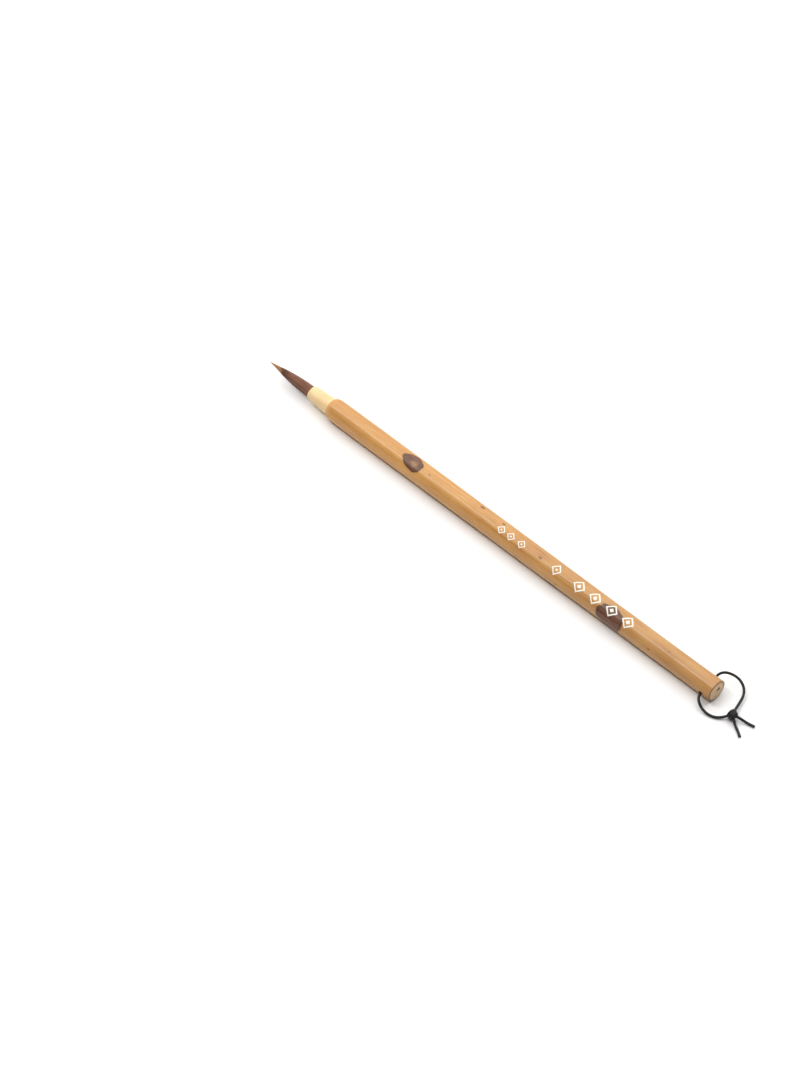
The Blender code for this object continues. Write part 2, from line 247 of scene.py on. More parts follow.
# ------------------------------------------------------------------ materials
class Nodes:
    """A short way to write a node tree."""

    def __init__(self, name):
        self.mat = bpy.data.materials.new(name)
        self.mat.use_nodes = True
        self.tree = self.mat.node_tree
        self.bsdf = self.tree.nodes["Principled BSDF"]
        self.out = self.tree.nodes["Material Output"]

    def add(self, kind, **settings):
        node = self.tree.nodes.new(kind)
        for key, value in settings.items():
            setattr(node, key, value)
        return node

    def link(self, a, b):
        self.tree.links.new(a, b)

    def feed(self, socket, value):
        if value is None:
            return
        if hasattr(value, "is_output"):
            self.link(value, socket)
        elif isinstance(value, (tuple, list)) and len(value) == 3 and socket.type == "RGBA":
            socket.default_value = (*value, 1.0)
        else:
            socket.default_value = value

    def math(self, op, a, b=None, c=None, clamp=False):
        node = self.add("ShaderNodeMath", operation=op, use_clamp=clamp)
        for socket, value in zip(node.inputs, (a, b, c)):
            self.feed(socket, value)
        return node.outputs[0]

    def vmath(self, op, a, b=None):
        node = self.add("ShaderNodeVectorMath", operation=op)
        self.feed(node.inputs[0], a)
        self.feed(node.inputs[1], b)
        return node.outputs["Value" if op in ("LENGTH", "DOT_PRODUCT") else "Vector"]

    def mix(self, factor, a, b, blend="MIX"):
        node = self.add("ShaderNodeMix", data_type="RGBA", blend_type=blend)
        node.clamp_factor = True
        self.feed(node.inputs["Factor"], factor)
        self.feed(node.inputs[6], a)
        self.feed(node.inputs[7], b)
        return node.outputs[2]

    def ramp(self, value, stops, interpolation="LINEAR"):
        node = self.add("ShaderNodeValToRGB")
        ramp = node.color_ramp
        ramp.interpolation = interpolation
        while len(ramp.elements) > 1:
            ramp.elements.remove(ramp.elements[-1])
        for k, (place, colour) in enumerate(stops):
            element = ramp.elements[0] if k == 0 else ramp.elements.new(place)
            element.position = place
            element.color = (*colour, 1.0) if len(colour) == 3 else colour
        self.feed(node.inputs[0], value)
        return node.outputs[0]

    def step(self, value, low, high, out_low=0.0, out_high=1.0, smoothly=True):
        node = self.add(
            "ShaderNodeMapRange",
            interpolation_type="SMOOTHSTEP" if smoothly else "LINEAR",
        )
        node.clamp = True
        for k, v in enumerate((value, low, high, out_low, out_high)):
            self.feed(node.inputs[k], v)
        return node.outputs[0]

    def noise(self, vector, scale=1.0, detail=3.0, rough=0.5, distortion=0.0):
        node = self.add("ShaderNodeTexNoise")
        self.feed(node.inputs["Vector"], vector)
        node.inputs["Scale"].default_value = scale
        node.inputs["Detail"].default_value = detail
        node.inputs["Roughness"].default_value = rough
        node.inputs["Distortion"].default_value = distortion
        return node.outputs["Fac"]

    def voronoi(self, vector, scale=1.0, feature="F1", output="Distance"):
        node = self.add("ShaderNodeTexVoronoi", feature=feature)
        self.feed(node.inputs["Vector"], vector)
        node.inputs["Scale"].default_value = scale
        return node.outputs[output]

    def millimetres(self, scale=(1.0, 1.0, 1.0)):
        """Object coordinates in millimetres, each axis times its scale."""
        if not hasattr(self, "_coord"):
            self._coord = self.add("ShaderNodeTexCoord")
        return self.vmath(
            "MULTIPLY",
            self._coord.outputs["Object"],
            tuple(1000.0 * s for s in scale),
        )

    def bump(self, height, strength, distance_mm, normal=None):
        node = self.add("ShaderNodeBump")
        node.inputs["Strength"].default_value = strength
        node.inputs["Distance"].default_value = distance_mm * MM
        self.feed(node.inputs["Height"], height)
        if normal is not None:
            self.link(normal, node.inputs["Normal"])
        return node.outputs["Normal"]

    def principled(self, **sockets):
        for key, value in sockets.items():
            name = {
                "color": "Base Color",
                "rough": "Roughness",
                "normal": "Normal",
                "coat": "Coat Weight",
                "coat_rough": "Coat Roughness",
                "ior": "IOR",
                "specular": "Specular IOR Level",
                "sheen": "Sheen Weight",
                "sheen_rough": "Sheen Roughness",
                "subsurface": "Subsurface Weight",
                "radius": "Subsurface Radius",
                "sss_scale": "Subsurface Scale",
                "metallic": "Metallic",
                "transmission": "Transmission Weight",
            }[key]
            self.feed(self.bsdf.inputs[name], value)
        return self.mat


def srgb(r, g, b):
    """An 8-bit screen colour as scene-linear."""

    def one(c):
        c /= 255.0
        return c / 12.92 if c <= 0.04045 else ((c + 0.055) / 1.055) ** 2.4

    return (one(r), one(g), one(b))


def on_skin(x_from_rim, degrees):
    """Point on the culm's skin, in mm, at a place along it and an angle from +Y."""
    a = math.radians(degrees)
    r = float(curve_through(HANDLE_SHAPE, np.array([x_from_rim]))[0])
    return (FRONT_X + x_from_rim, r * math.cos(a), AXIS_Z + r * math.sin(a))


def bamboo_skin():
    """Tan-orange culm skin: long fibres, soft mottling, brown-purple spots and specks."""
    n = Nodes("spotted_bamboo_skin")
    streak = n.noise(n.millimetres((0.030, 2.2, 2.2)), 1.0, 5.0, 0.66)
    fine = n.noise(n.millimetres((0.16, 8.0, 8.0)), 1.0, 4.0, 0.62)
    mottle = n.noise(n.millimetres((0.06, 0.20, 0.20)), 1.0, 4.0, 0.6)
    tone = n.math(
        "ADD",
        n.math("MULTIPLY", streak, 0.44),
        n.math("ADD", n.math("MULTIPLY", fine, 0.30), n.math("MULTIPLY", mottle, 0.32)),
    )
    base = n.ramp(
        tone,
        [
            (0.36, srgb(172, 113, 56)),
            (0.48, srgb(196, 138, 74)),
            (0.58, srgb(209, 153, 86)),
            (0.72, srgb(228, 180, 112)),
        ],
    )
    # Thin darker fibres, and short brown dashes where a fibre lies open.
    dark_fibre = n.step(n.noise(n.millimetres((0.05, 4.2, 4.2)), 1.0, 2.0, 0.5), 0.60, 0.74)
    base = n.mix(n.math("MULTIPLY", dark_fibre, 0.42), base, srgb(166, 108, 58))
    dashes = n.add("ShaderNodeTexVoronoi", feature="F1")
    n.feed(dashes.inputs["Vector"], n.millimetres((0.42, 2.6, 2.6)))
    dashes.inputs["Scale"].default_value = 1.0
    chosen = n.add("ShaderNodeSeparateColor")
    n.link(dashes.outputs["Color"], chosen.inputs[0])
    dash = n.math(
        "MULTIPLY",
        n.step(dashes.outputs["Distance"], 0.34, 0.14),
        n.step(chosen.outputs[0], 0.78, 0.86),
    )
    dash = n.math("MULTIPLY", dash, n.step(mottle, 0.42, 0.58, 0.25, 1.0))
    base = n.mix(n.math("MULTIPLY", dash, 0.42), base, srgb(148, 92, 52))
    # Darker towards the butt.
    ends = n.add("ShaderNodeSeparateXYZ")
    n.link(n.millimetres(), ends.inputs[0])
    darker_to_butt = n.ramp(
        n.step(ends.outputs[0], FRONT_X + 30, BUTT_X - 20),
        [(0.0, (0.96, 1.00, 0.99)), (1.0, (0.80, 0.84, 0.92))],
    )
    base = n.mix(1.0, base, darker_to_butt, "MULTIPLY")

    place = n.millimetres()
    warp_a = n.noise(n.millimetres((0.42, 0.9, 0.9)), 1.0, 4.0, 0.6)
    warp_b = n.noise(n.millimetres((0.30, 2.2, 2.2)), 1.0, 3.0, 0.6)
    warp = n.math(
        "ADD",
        n.math("MULTIPLY", n.math("SUBTRACT", warp_a, 0.5), 0.75),
        n.math("MULTIPLY", n.math("SUBTRACT", warp_b, 0.5), 0.35),
    )

    def spot(x, degrees, half_length, half_width, wobble=1.0):
        """0 at the middle of the spot and 1 on its edge, then beyond."""
        centre = on_skin(x, degrees)
        away = n.vmath("SUBTRACT", place, centre)
        scaled = n.vmath(
            "MULTIPLY", away, (1 / half_length, 1 / half_width, 1 / half_width)
        )
        return n.math(
            "ADD", n.vmath("LENGTH", scaled), n.math("MULTIPLY", warp, wobble)
        )

    axes = n.add("ShaderNodeSeparateXYZ")
    n.link(place, axes.inputs[0])
    y, up = axes.outputs[1], n.math("SUBTRACT", axes.outputs[2], AXIS_Z)

    def patch(x, degrees, half_length, half_width, power, wobble):
        """As spot, but wrapped round the culm, between a lozenge (1) and an oval (2)."""
        a = math.radians(degrees)
        ahead = n.math(
            "ADD", n.math("MULTIPLY", y, math.cos(a)), n.math("MULTIPLY", up, math.sin(a))
        )
        across = n.math(
            "SUBTRACT", n.math("MULTIPLY", up, math.cos(a)), n.math("MULTIPLY", y, math.sin(a))
        )
        arc = n.math("MULTIPLY", n.math("ARCTAN2", across, ahead), 4.2 / half_width)
        along = n.math(
            "MULTIPLY", n.math("SUBTRACT", axes.outputs[0], FRONT_X + x), 1 / half_length
        )
        total = n.math(
            "ADD",
            n.math("POWER", n.math("ABSOLUTE", along), power),
            n.math("POWER", n.math("ABSOLUTE", arc), power),
        )
        return n.math(
            "ADD", n.math("POWER", total, 1 / power), n.math("MULTIPLY", warp, wobble)
        )

    large = None
    for values in (
        (41.4, 98.5, 5.0, 3.25, 1.45, 0.42),
        (42.8, 112.0, 3.3, 2.5, 1.9, 0.40),
        (138.3, 148.0, 6.2, 4.9, 1.80, 0.40),
        (139.8, 168.0, 4.0, 4.2, 1.9, 0.40),
        # Others out of sight from the front, so that the culm is spotted all round.
        (66.0, 300.0, 5.4, 2.8, 1.6, 0.5),
        (69.5, 282.0, 3.0, 1.6, 1.8, 0.5),
        (112.0, 255.0, 3.2, 1.6, 1.7, 0.5),
        (20.0, 268.0, 2.4, 1.3, 1.8, 0.5),
        (158.0, 318.0, 4.4, 2.4, 1.6, 0.5),
    ):
        one = patch(*values)
        large = one if large is None else n.math("MINIMUM", large, one)
    inside = n.step(large, 1.03, 0.93)
    rim = n.math(
        "MULTIPLY", n.step(large, 1.02, 0.92), n.step(large, 0.70, 0.88)
    )
    spot_grain = n.noise(n.millimetres((0.10, 2.6, 2.6)), 1.0, 4.0, 0.65)
    spot_colour = n.ramp(
        spot_grain,
        [
            (0.34, srgb(66, 36, 25)),
            (0.52, srgb(94, 56, 38)),
            (0.70, srgb(132, 84, 56)),
        ],
    )
    # A paler, half-bleached patch inside the first spot.
    pale = n.step(spot(42.5, 104.0, 2.0, 1.5, 1.3), 1.2, 0.35)
    pale = n.math("MULTIPLY", pale, n.step(spot_grain, 0.36, 0.60, 0.15, 1.0))
    spot_colour = n.mix(n.math("MULTIPLY", pale, 0.82), spot_colour, srgb(180, 132, 90))
    spot_colour = n.mix(n.math("MULTIPLY", rim, 0.62), spot_colour, srgb(62, 34, 26))
    colour = n.mix(n.math("MULTIPLY", inside, 0.95), base, spot_colour)
    # Stained halo just outside.
    halo = n.math("MULTIPLY", n.step(large, 1.22, 1.02), 0.25)
    colour = n.mix(n.math("MULTIPLY", halo, n.math("SUBTRACT", 1.0, inside)), colour, srgb(170, 112, 62))

    # Small spots and short streaks, each at its own place.
    small = None
    for x, degrees, half_length, half_width in (
        (74.0, 73.0, 1.25, 0.60),
        (84.7, 79.0, 0.80, 0.52),
        (88.2, 117.0, 0.55, 0.34),
        (104.0, 110.5, 0.95, 0.42),
        (164.0, 104.0, 0.42, 0.26),
        (50.0, 104.5, 0.55, 0.24),
        (31.0, 101.0, 0.40, 0.20),
        (114.0, 178.0, 0.70, 0.36),
        (157.0, 158.0, 0.60, 0.30),
        (96.5, 236.0, 1.10, 0.60),
        (28.0, 330.0, 1.30, 0.62),
    ):
        one = spot(x, degrees, half_length, half_width, 0.45)
        small = one if small is None else n.math("MINIMUM", small, one)
    specks = n.math("MULTIPLY", n.step(small, 1.15, 0.55), 0.82)
    colour = n.mix(specks, colour, srgb(98, 62, 46))
    streaks = None
    for x, degrees, half_length, half_width in (
        (103.5, 78.6, 4.8, 0.30),
        (104.6, 96.5, 4.6, 0.26),
        (103.9, 104.0, 1.3, 0.20),
        (149.0, 74.0, 2.2, 0.22),
        (12.0, 88.0, 3.0, 0.20),
        (58.0, 262.0, 6.0, 0.30),
    ):
        one = spot(x, degrees, half_length, half_width, 0.9)
        streaks = one if streaks is None else n.math("MINIMUM", streaks, one)
    colour = n.mix(
        n.math("MULTIPLY", n.step(streaks, 1.15, 0.35), 0.50), colour, srgb(142, 84, 60)
    )
    # Pin-prick pores: rare cells of a stretched cell pattern.
    cells = n.add("ShaderNodeTexVoronoi", feature="F1")
    n.feed(cells.inputs["Vector"], n.millimetres((0.28, 0.85, 0.85)))
    cells.inputs["Scale"].default_value = 1.0
    rare = n.add("ShaderNodeSeparateColor")
    n.link(cells.outputs["Color"], rare.inputs[0])
    pore = n.math(
        "MULTIPLY",
        n.step(cells.outputs["Distance"], 0.13, 0.05),
        n.step(rare.outputs[0], 0.80, 0.84),
    )
    colour = n.mix(n.math("MULTIPLY", pore, 0.55), colour, srgb(130, 82, 48))

    # The rounded rim is scraped bare: paler, duller, with open fibre.
    xyz = n.add("ShaderNodeSeparateXYZ")
    n.link(place, xyz.inputs[0])
    scraped = n.step(xyz.outputs[0], FRONT_X + 2.6, FRONT_X + 0.9)
    colour = n.mix(n.math("MULTIPLY", scraped, 0.35), colour, srgb(222, 168, 104))
    edge = n.step(xyz.outputs[0], BUTT_X - 0.35, BUTT_X - 0.08)
    colour = n.mix(n.math("MULTIPLY", edge, 0.75), colour, srgb(96, 62, 40))

    rough = n.math(
        "ADD",
        n.step(streak, 0.3, 0.7, 0.34, 0.44, False),
        n.math("MULTIPLY", n.math("MAXIMUM", inside, scraped), 0.07),
    )
    height = n.math(
        "ADD",
        n.math("MULTIPLY", fine, 0.55),
        n.math(
            "ADD",
            n.math("MULTIPLY", streak, 0.8),
            n.math("MULTIPLY", n.math("ADD", pore, n.math("MULTIPLY", dash, 0.6)), -0.5),
        ),
    )
    normal = n.bump(height, 0.35, 0.05)
    return n.principled(
        color=colour, rough=rough, normal=normal, specular=0.40, coat=0.16, coat_rough=0.10
    )


def bamboo_sawn():
    """Cut bamboo: pale flesh with dark fibre bundles, denser and darker near the skin."""
    n = Nodes("sawn_bamboo")
    place = n.millimetres()
    xyz = n.add("ShaderNodeSeparateXYZ")
    n.link(place, xyz.inputs[0])
    up = n.math("SUBTRACT", xyz.outputs[2], AXIS_Z)
    radius = n.math(
        "SQRT",
        n.math("ADD", n.math("MULTIPLY", xyz.outputs[1], xyz.outputs[1]), n.math("MULTIPLY", up, up)),
    )
    flat = n.millimetres((0.02, 1.0, 1.0))
    cells = n.voronoi(flat, 2.6)
    dense = n.voronoi(flat, 4.4)
    flesh = n.ramp(
        n.noise(n.millimetres((0.1, 1.1, 1.1)), 1.0, 4.0, 0.6),
        [
            (0.30, srgb(208, 168, 126)),
            (0.52, srgb(230, 196, 154)),
            (0.72, srgb(240, 214, 176)),
        ],
    )
    dots = n.math("MULTIPLY", n.step(cells, 0.30, 0.10), 0.62)
    flesh = n.mix(dots, flesh, srgb(112, 86, 54))
    outer = n.step(radius, 2.9, 3.7)
    flesh = n.mix(n.math("MULTIPLY", outer, 0.32), flesh, srgb(164, 124, 82))
    ring_dots = n.math("MULTIPLY", n.math("MULTIPLY", n.step(dense, 0.34, 0.12), outer), 0.6)
    flesh = n.mix(ring_dots, flesh, srgb(84, 60, 38))
    skin = n.step(radius, 3.62, 3.84)
    skin = n.math("MULTIPLY", skin, n.step(xyz.outputs[0], BUTT_X - 1.5, BUTT_X - 0.5))
    flesh = n.mix(n.math("MULTIPLY", skin, 0.9), flesh, srgb(72, 44, 30))
    # Darker round the pith channel's mouth, on the butt face and a little way in.
    drift = n.vmath("SUBTRACT", place, (BUTT_X, 0.85, AXIS_Z + 0.30))
    pith = n.vmath("LENGTH", n.vmath("MULTIPLY", drift, (0.0, 1.0, 1.0)))
    pith_mouth_dark = n.math(
        "MULTIPLY", n.step(pith, 1.05, 0.45), n.step(xyz.outputs[0], BUTT_X - 1.0, BUTT_X)
    )
    flesh = n.mix(n.math("MULTIPLY", pith_mouth_dark, 0.6), flesh, srgb(96, 70, 44))
    # Painted shade: darker down inside the pith channel, deeper than the butt face.
    deep = n.math("MULTIPLY", n.step(xyz.outputs[0], BUTT_X - 0.02, BUTT_X - 0.9), n.step(radius, 3.0, 2.0))
    flesh = n.mix(n.math("MULTIPLY", deep, 0.8), flesh, srgb(64, 44, 28))
    saw = n.noise(n.vmath("MULTIPLY", place, (0.2, 0.9, 7.0)), 1.0, 3.0, 0.5)
    normal = n.bump(
        n.math("ADD", n.math("MULTIPLY", cells, -0.7), saw), 0.5, 0.05
    )
    return n.principled(color=flesh, rough=0.68, normal=normal)


def peeled_bamboo():
    """The ferrule: cream, fine-grained, polished."""
    n = Nodes("peeled_bamboo")
    grain = n.noise(n.millimetres((0.10, 2.6, 2.6)), 1.0, 4.0, 0.6)
    cloud = n.noise(n.millimetres((0.12, 0.30, 0.30)), 1.0, 2.0, 0.5)
    tone = n.math("ADD", n.math("MULTIPLY", grain, 0.6), n.math("MULTIPLY", cloud, 0.5))
    colour = n.ramp(
        tone,
        [
            (0.36, srgb(219, 186, 131)),
            (0.54, srgb(229, 198, 147)),
            (0.72, srgb(238, 210, 163)),
        ],
    )
    line = n.step(n.noise(n.millimetres((0.06, 5.0, 5.0)), 1.0, 2.0, 0.5), 0.62, 0.76)
    colour = n.mix(n.math("MULTIPLY", line, 0.32), colour, srgb(206, 172, 112))
    xyz = n.add("ShaderNodeSeparateXYZ")
    n.link(n.millimetres(), xyz.inputs[0])
    lip = n.step(xyz.outputs[0], MOUTH_X + 0.55, MOUTH_X + 0.05)
    colour = n.mix(n.math("MULTIPLY", lip, 0.28), colour, srgb(206, 170, 108))
    seat = n.step(xyz.outputs[0], FRONT_X - 0.45, FRONT_X + 0.02)
    colour = n.mix(n.math("MULTIPLY", seat, 0.35), colour, srgb(198, 158, 98))
    normal = n.bump(grain, 0.22, 0.03)
    return n.principled(
        color=colour, rough=0.42, normal=normal, specular=0.4, coat=0.08, coat_rough=0.2,
        subsurface=0.12, radius=(0.0012, 0.0008, 0.0004), sss_scale=1.0,
    )


def hair_material(name, root, middle, tip, pale, sheen=0.0):
    """Hair by the strand: tone_ runs along it, strand_ tells one hair from the next."""
    n = Nodes(name)
    along = n.add("ShaderNodeAttribute", attribute_name="hair_along").outputs["Fac"]
    strand = n.add("ShaderNodeAttribute", attribute_name="hair_id").outputs["Fac"]
    colour = n.ramp(along, [(0.0, root), (0.55, middle), (0.86, middle), (1.0, tip)])
    lighter = n.step(strand, 0.72, 1.0)
    colour = n.mix(n.math("MULTIPLY", lighter, 0.60), colour, pale)
    darker = n.step(strand, 0.30, 0.0)
    colour = n.mix(n.math("MULTIPLY", darker, 0.45), colour, tuple(c * 0.35 for c in middle))
    patch = n.noise(n.millimetres((0.5, 3.0, 3.0)), 1.0, 3.0, 0.6)
    colour = n.mix(n.step(patch, 0.35, 0.75, 0.0, 0.25), colour, pale)
    return n.principled(color=colour, rough=0.5, specular=0.22)


def cord_material():
    n = Nodes("waxed_cord")
    weave = n.noise(n.millimetres((9.0, 9.0, 9.0)), 1.0, 3.0, 0.6)
    smear = n.noise(n.millimetres((0.9, 0.9, 0.9)), 1.0, 3.0, 0.6)
    colour = n.ramp(
        n.math("ADD", n.math("MULTIPLY", weave, 0.5), n.math("MULTIPLY", smear, 0.5)),
        [(0.35, srgb(8, 9, 12)), (0.55, srgb(15, 16, 20)), (0.72, srgb(28, 30, 36))],
    )
    rough = n.step(smear, 0.3, 0.7, 0.38, 0.55, False)
    return n.principled(color=colour, rough=rough, normal=n.bump(weave, 0.4, 0.03), specular=0.38)


def pigment():
    """White pigment rubbed into shallow cuts: chalky, a little worn."""
    n = Nodes("white_pigment")
    grain = n.noise(n.millimetres((4.0, 4.0, 4.0)), 1.0, 4.0, 0.7)
    colour = n.ramp(
        grain, [(0.30, srgb(226, 214, 192)), (0.5, srgb(244, 239, 228)), (0.7, srgb(252, 249, 242))]
    )
    return n.principled(color=colour, rough=0.72, normal=n.bump(grain, 0.4, 0.02))


def hidden(name, low, high, rough, scale=(0.5, 3.0, 3.0)):
    """For the pieces inside: two tones through a stretched noise, with a fine bump."""
    n = Nodes(name)
    grain = n.noise(n.millimetres(scale), 1.0, 4.0, 0.6)
    colour = n.ramp(grain, [(0.3, low), (0.7, high)])
    return n.principled(color=colour, rough=rough, normal=n.bump(grain, 0.4, 0.03))


# --------------------------------------------------------------------- handle
def handle_radius(x, a):
    """Skin radius in mm at x mm behind the front rim and angle a: not quite round, not quite straight."""
    r = curve_through(HANDLE_SHAPE, x)
    sway = 0.030 * np.cos(2 * a - 0.9 + 0.004 * x) + 0.014 * np.cos(3 * a + 0.021 * x)
    wave = 0.016 * np.sin(x * 0.135 + 0.8 * np.cos(a)) + 0.010 * np.sin(x * 0.31 + a)
    fibre = 0.0045 * np.cos(41 * a + 0.5 * np.sin(x * 0.05)) + 0.003 * np.cos(67 * a - 0.3 * np.sin(x * 0.08))
    fade = np.clip((185.0 - x) / 1.0, 0, 1) * np.clip((x - 1.0) / 3.0, 0, 1)
    return r + (sway + wave + fibre) * fade - 0.028


def make_handle(skin_mat, sawn_mat):
    around = 176
    angles = 2 * np.pi * (np.arange(around) + 0.5) / around - np.pi / 2
    verts, rows, kinds = [], [], []

    def row(x, radius, shift=(0.0, 0.0), kind=0):
        rows.append(len(verts) // 1)
        radius = np.broadcast_to(radius, angles.shape)
        for a, r in zip(angles, radius):
            verts.append(
                (
                    (FRONT_X + x) * MM,
                    (shift[0] + r * math.cos(a)) * MM,
                    (AXIS_Z + shift[1] + r * math.sin(a)) * MM,
                )
            )
        kinds.append(kind)

    # rim: a quarter turn from the flat front to the skin
    first = handle_radius(np.full(around, RIM_LENGTH), angles)
    for k in range(14):
        turn = math.pi / 2 * k / 14
        row(
            RIM_LENGTH * (1 - math.cos(turn)),
            RIM_FLAT_R + (first - RIM_FLAT_R) * math.sin(turn),
        )
    for x in np.concatenate(
        [np.linspace(RIM_LENGTH, 178.0, 150), np.linspace(178.4, 184.4, 22)]
    ):
        row(x, handle_radius(np.full(around, x), angles))
    last = handle_radius(np.full(around, 184.7), angles)
    row(184.82, last - 0.012)
    row(184.95, last - 0.07)
    row(185.0, last - 0.15, kind=1)
    # sawn butt: rings with a little relief
    rng = np.random.default_rng(7)
    pith = 0.44
    for k in range(1, 15):
        part = k / 15
        blend = part**1.1
        radius = (last - 0.15) * (1 - blend) + pith * blend
        relief = 0.018 * rng.standard_normal(around)
        relief = (relief + np.roll(relief, 1) + np.roll(relief, -1)) / 3
        rows.append(len(verts))
        for a, r, d in zip(angles, np.broadcast_to(radius, angles.shape), relief):
            verts.append(
                (
                    (FRONT_X + 185.0 + d - 0.012) * MM,
                    (0.85 * blend + r * math.cos(a)) * MM,
                    (AXIS_Z + 0.30 * blend + r * math.sin(a)) * MM,
                )
            )
        kinds.append(1)
    # pith channel, a ragged natural hollow at its mouth
    ragged = 1 + 0.16 * np.cos(2 * angles + 0.6) + 0.07 * np.cos(5 * angles)
    row(184.93, pith * ragged, (0.85, 0.30), 1)
    for k in range(1, 12):
        part = 1 - k / 11
        x = 11.4 + (184.9 - 11.4) * part
        drift = part**2
        mouth = max(0.0, (x - 180.0) / 5.0)
        row(
            x,
            0.50 - 0.06 * mouth + (ragged - 1) * 0.44 * mouth,
            (0.85 * drift, 0.30 * drift),
            1,
        )
    row(11.4, 3.30, kind=1)
    row(11.25, 3.46, kind=1)
    for x in (8.0, 4.0, 1.0, 0.25):
        row(x, 3.46, kind=1)
    row(0.0, 3.485, kind=1)
    row(0.0, 3.55, kind=1)

    count = len(kinds)
    grid = np.arange(count * around).reshape(count, around)
    faces, slots = [], []
    for i in range(count):
        j = (i + 1) % count
        a, b = grid[i], grid[j]
        a2, b2 = np.roll(a, -1), np.roll(b, -1)
        faces.append(np.stack([a, a2, b2, b], 1))
        slots += [1 if (kinds[i] and (kinds[j] or j == 0)) else 0] * around
    mesh = mesh_from("bamboo_handle", verts, np.concatenate(faces))
    mesh.materials.append(skin_mat)
    mesh.materials.append(sawn_mat)
    mesh.polygons.foreach_set("material_index", np.array(slots, np.int32))
    outward(mesh)

    # cross hole for the cord, flared by wear at both mouths
    reach, rings = 5.4, []
    bm = bmesh.new()
    side = Vector((1, 0, 0))
    direction = Vector(HOLE_DIR)
    up = direction.cross(side)
    for along, radius in (
        (-reach, 2.20), (-4.35, 1.16), (-4.12, 1.00), (-3.95, 0.915), (-3.7, 0.865),
        (3.7, 0.865), (3.95, 0.915), (4.12, 1.00), (4.35, 1.16), (reach, 2.20),
    ):
        rings.append(
            [
                bm.verts.new(
                    (Vector(HOLE_C) + direction * along
                     + (side * math.cos(t) + up * math.sin(t)) * radius) * MM
                )
                for t in (2 * math.pi * i / 56 for i in range(56))
            ]
        )
    for first_ring, second in zip(rings, rings[1:]):
        for i in range(56):
            j = (i + 1) % 56
            bm.faces.new((first_ring[i], first_ring[j], second[j], second[i]))
    bm.faces.new(rings[0])
    bm.faces.new(rings[-1])
    bmesh.ops.recalc_face_normals(bm, faces=bm.faces[:])
    drill_mesh = bpy.data.meshes.new("drill")
    bm.to_mesh(drill_mesh)
    bm.free()
    drill_mesh.materials.append(skin_mat)
    drill_mesh.materials.append(sawn_mat)
    drill_mesh.polygons.foreach_set(
        "material_index", np.ones(len(drill_mesh.polygons), np.int32)
    )
    drill = new_object("drill", drill_mesh)
    handle = new_object("bamboo_handle", mesh)
    cut = handle.modifiers.new("cut", "BOOLEAN")
    cut.operation, cut.solver, cut.object = "DIFFERENCE", "EXACT", drill
    graph = bpy.context.evaluated_depsgraph_get()
    made = bpy.data.meshes.new_from_object(handle.evaluated_get(graph))
    handle.modifiers.clear()
    handle.data = made
    bpy.data.objects.remove(drill)
    smooth(made, 38)
    return handle


def revolve(name, profile, mat, around=128, wobble=None):
    """Closed tube turned about the brush's axis, from (x, radius) stations in mm."""
    angles = 2 * np.pi * (np.arange(around) + 0.5) / around - np.pi / 2
    verts = []
    for x, radius in profile:
        r = np.full(around, float(radius))
        if wobble is not None:
            r = r + wobble(x, radius, angles)
        verts.append(
            np.stack(
                [np.full(around, x), r * np.cos(angles), AXIS_Z + r * np.sin(angles)], 1
            )
        )
    grid = np.arange(len(profile) * around).reshape(len(profile), around)
    faces = []
    for i in range(len(profile)):
        a, b = grid[i], grid[(i + 1) % len(profile)]
        faces.append(np.stack([a, np.roll(a, -1), np.roll(b, -1), b], 1))
    mesh = mesh_from(name, np.concatenate(verts) * MM, np.concatenate(faces))
    outward(mesh)
    smooth(mesh, 42)
    return new_object(name, mesh, mat)


def make_ferrule(mat):
    stations = ((0.0, 2.50), (0.05, 2.585), (0.16, 2.655), (0.34, 2.72), (0.8, 2.80), (1.6, 2.885),
                (3.8, 3.02), (7.2, 3.20), (10.4, 3.32))
    profile = [(MOUTH_X + 0.35, 2.36), (MOUTH_X + 0.06, 2.375), (MOUTH_X, 2.42)]
    profile += [(MOUTH_X + x, r) for x, r in stations[:5]]
    for x in np.linspace(1.2, 10.4, 26):
        profile.append((MOUTH_X + x, float(curve_through(stations[4:], np.array([x]))[0])))
    profile += [
        (FRONT_X + 3.0, 3.32), (FRONT_X + 7.0, 3.32), (FRONT_X + 10.4, 3.32),
        (FRONT_X + 10.75, 3.22), (FRONT_X + 10.9, 3.02), (FRONT_X + 10.9, 1.40),
        (MOUTH_X + 9.8, 1.40), (MOUTH_X + 9.8, 2.30), (MOUTH_X + 9.7, 2.36), (MOUTH_X + 5.0, 2.36),
    ]

    def wobble(x, radius, a):
        if not MOUTH_X + 0.3 < x < FRONT_X - 0.05 or radius < 2.5:
            return 0.0
        return 0.012 * np.cos(2 * a + 0.4) + 0.004 * np.cos(23 * a + 0.2 * x)

    return revolve("peeled_ferrule", profile, mat, 144, wobble)


# ----------------------------------------------------------------------- hair
def tuft_radius(d):
    """Radius of the tuft d mm behind its tip."""
    part = np.clip(d / TUFT_OUT, 0, 1)
    return TUFT_R * np.sin(np.pi / 2 * part) ** 1.12 + 0.10 * np.sin(np.pi * part) ** 2


def bundle_radius(d):
    """The same, carried on into the ferrule."""
    inside = d - TUFT_OUT
    held = np.interp(
        inside, (0.0, 0.6, 5.6, 6.1, 7.9, 8.2, 8.5), (2.30, 2.20, 2.20, 1.83, 1.83, 2.05, 2.05)
    )
    return np.where(inside > 0, held, tuft_radius(d))


